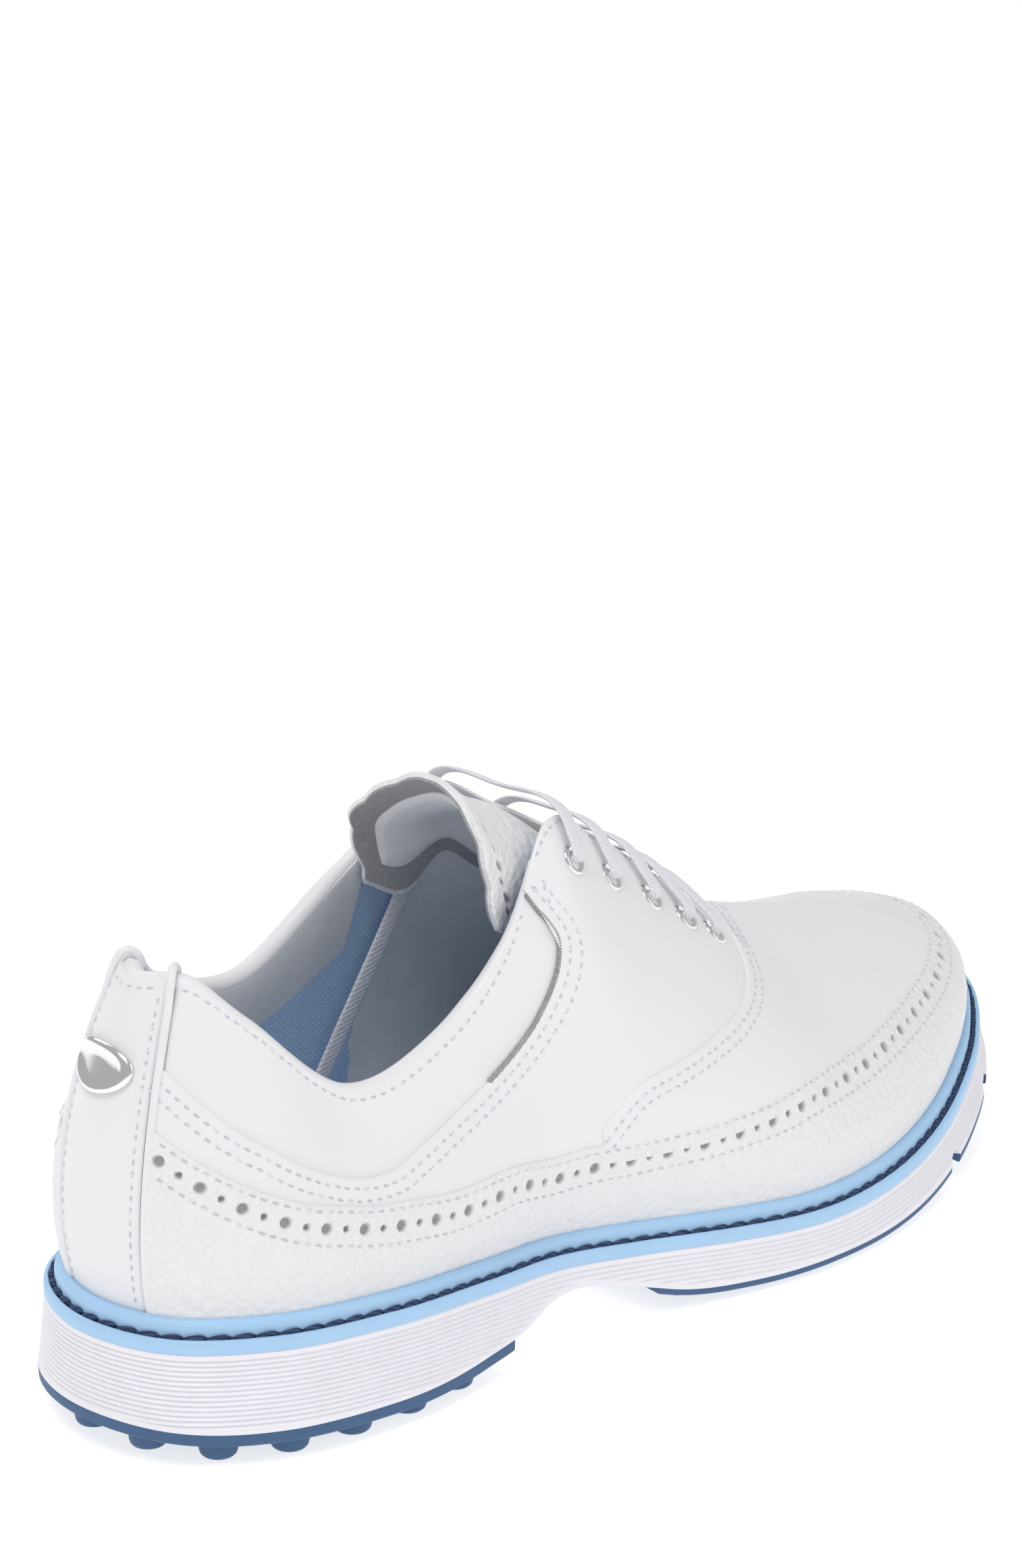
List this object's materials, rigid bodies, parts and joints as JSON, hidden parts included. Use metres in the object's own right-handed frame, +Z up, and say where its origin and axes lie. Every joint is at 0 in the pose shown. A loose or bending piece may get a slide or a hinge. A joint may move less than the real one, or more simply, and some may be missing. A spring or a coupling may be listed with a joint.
{
  "type": "golf shoe",
  "caption": "White leather spikeless golf shoe for the right foot, with a brogued mudguard, light-blue stitched welt, ribbed foam midsole and blue rubber outsole.",
  "frame": {"origin": "centre of the shoe's box on the ground, under the lugs", "axes": "+X from heel to toe, +Y to the inner (medial) side, +Z up"},
  "size_m": [0.3062, 0.118, 0.1326],
  "materials": {
    "leather": "smooth fine grain, semi-gloss",
    "grain_leather": "pebbled grain, semi-gloss",
    "lining": "matte, padded",
    "textile": "woven, matte",
    "board": "stiffened board, matte",
    "foam": "moulded foam, satin, fine ribs",
    "welt": "moulded, satin",
    "thread": "waxed thread",
    "outsole": "moulded rubber, satin",
    "metal": "polished",
    "steel": "spring steel strip",
    "lace": "flat woven",
    "plastic": "clear film"
  },
  "bodies": {
    "shoe": {"heel_outsole": "outsole", "forefoot_outsole": "outsole", "toe_outsole_rear": "outsole", "toe_outsole_front": "outsole", "midsole": "foam", "collar_foam": "foam", "shank": "steel", "welt": "welt", "welt_thread": "thread", "insole_board": "board", "heel_counter": "board", "toe_puff": "board", "footbed": "textile", "quarter_lining_lateral": "textile", "quarter_lining_medial": "textile", "collar_lining_lateral": "lining", "collar_lining_medial": "lining", "vamp_lining": "lining", "tongue_body_lining": "lining", "collar_lateral": "leather", "collar_medial": "leather", "quarter_lateral": "leather", "quarter_medial": "leather", "heel_strip": "leather", "piping_lateral": "leather", "piping_medial": "leather", "vamp": "leather", "mudguard": "grain_leather", "tongue_body": "grain_leather", "eyelet_lateral_1": "metal", "eyelet_lateral_2": "metal", "eyelet_lateral_3": "metal", "eyelet_lateral_4": "metal", "eyelet_lateral_5": "metal", "eyelet_medial_1": "metal", "eyelet_medial_2": "metal", "eyelet_medial_3": "metal", "eyelet_medial_4": "metal", "eyelet_medial_5": "metal", "heel_medallion": "metal", "lace": "lace", "lace_end_medial": "lace", "lace_end_lateral": "lace", "aglet_medial": "plastic", "aglet_lateral": "plastic"},
    "tongue_flap_body": {"tongue_flap": "grain_leather", "tongue_flap_lining": "lining"}
  },
  "joints": [
    {"name": "tongue_fold", "type": "hinge", "parent": "shoe", "child": "tongue_flap_body", "pos_m": [-0.021, 0, 0.116], "axis": [0, 1, 0], "range_deg": [0, 25]}
  ]
}
